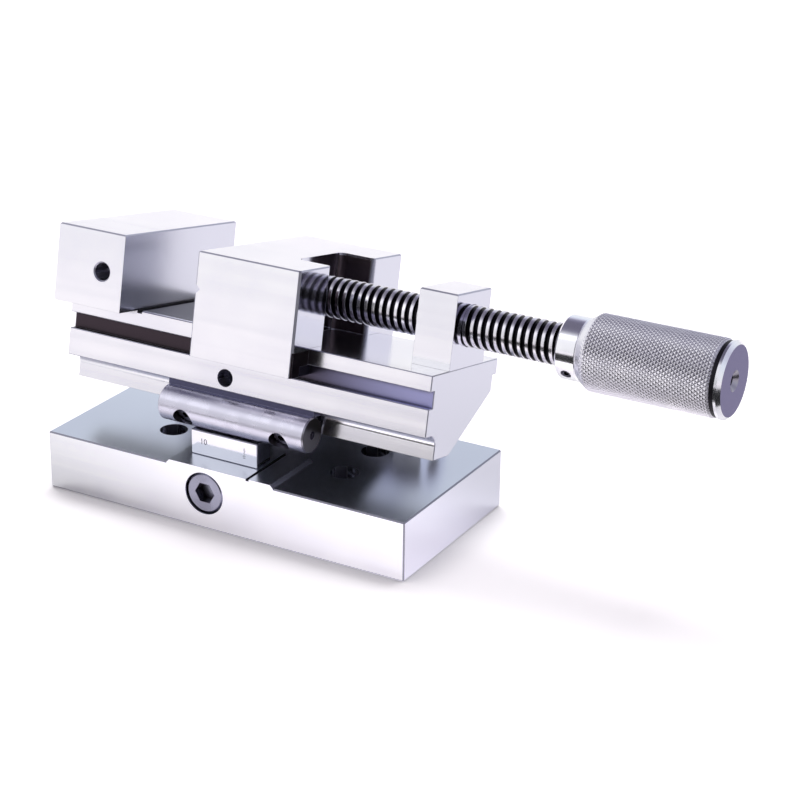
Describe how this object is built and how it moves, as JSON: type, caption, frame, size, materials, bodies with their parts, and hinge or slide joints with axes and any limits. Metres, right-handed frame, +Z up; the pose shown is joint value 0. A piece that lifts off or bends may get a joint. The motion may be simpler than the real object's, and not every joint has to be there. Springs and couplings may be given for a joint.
{
  "type": "sine vise",
  "caption": "Precision sine vise: slotted jaw body hinged on a roller above a ground base, standing on a gauge block, with a knurled screw handle.",
  "frame": {"origin": "middle of the base's underside, which is also the centre of its four screw holes", "axes": "+X along the base towards the handle, +Y from the front to the hinge at the back, +Z up"},
  "size_m": [0.2629, 0.0881, 0.1056],
  "materials": {
    "ground_steel": "fine ground, bright",
    "gauge_steel": "lapped",
    "roller_steel": "centreless ground and polished",
    "thread_steel": "machine cut",
    "collar_steel": "turned and polished",
    "knurled_steel": "diamond knurled",
    "cap_steel": "fine turned",
    "screw_steel": "plain alloy steel",
    "pin_steel": "hardened and ground"
  },
  "bodies": {
    "base": {"base_plate": "ground_steel", "hinge_bracket_left": "ground_steel", "hinge_bracket_right": "ground_steel", "bracket_screws": "screw_steel", "bracket_dowels": "pin_steel", "lock_plug": "pin_steel"},
    "lock": {"lock_screw": "screw_steel"},
    "gauge": {"gauge_block": "gauge_steel"},
    "vise": {"vise_body": "ground_steel", "front_roller": "roller_steel", "hinge_roller": "roller_steel", "front_roller_screws": "screw_steel", "hinge_roller_screws": "screw_steel", "lock_strap": "pin_steel", "strap_screw": "screw_steel", "nut_post": "ground_steel", "post_screws": "screw_steel", "post_dowels": "pin_steel"},
    "jaw": {"movable_jaw": "ground_steel", "keeper_front": "ground_steel", "keeper_rear": "ground_steel", "keeper_screws": "screw_steel", "retaining_pins": "pin_steel", "thrust_button": "pin_steel"},
    "spindle": {"lead_screw": "thread_steel", "collar": "collar_steel", "collar_set_screw": "screw_steel", "handle": "knurled_steel", "handle_cap": "cap_steel", "handle_screw": "screw_steel"}
  },
  "joints": [
    {"name": "vise_tilt", "type": "hinge", "parent": "base", "child": "vise", "pos_m": [0, 0.025, 0.032], "axis": [-1, 0, 0], "range_deg": [0, 33.4]},
    {"name": "jaw_slide", "type": "slide", "parent": "vise", "child": "jaw", "axis": [1, 0, 0], "range_m": [-0.033, 0.0429]},
    {"name": "spindle_spin", "type": "hinge", "parent": "jaw", "child": "spindle", "pos_m": [0.1, 0.01009, 0.08384], "axis": [1, 0, 0], "range_deg": [-3742, 4865]},
    {"name": "gauge_slide", "type": "slide", "parent": "base", "child": "gauge", "axis": [0, -1, 0], "range_m": [0, 0.013]},
    {"name": "lock_turn", "type": "hinge", "parent": "base", "child": "lock", "pos_m": [-0.007, -0.03, 0.0144], "axis": [0, -1, 0], "range_deg": [0, 180]}
  ],
  "couplings": [
    {"joint": "spindle_spin", "follows": "jaw_slide", "rad_per_m": 1979}
  ]
}
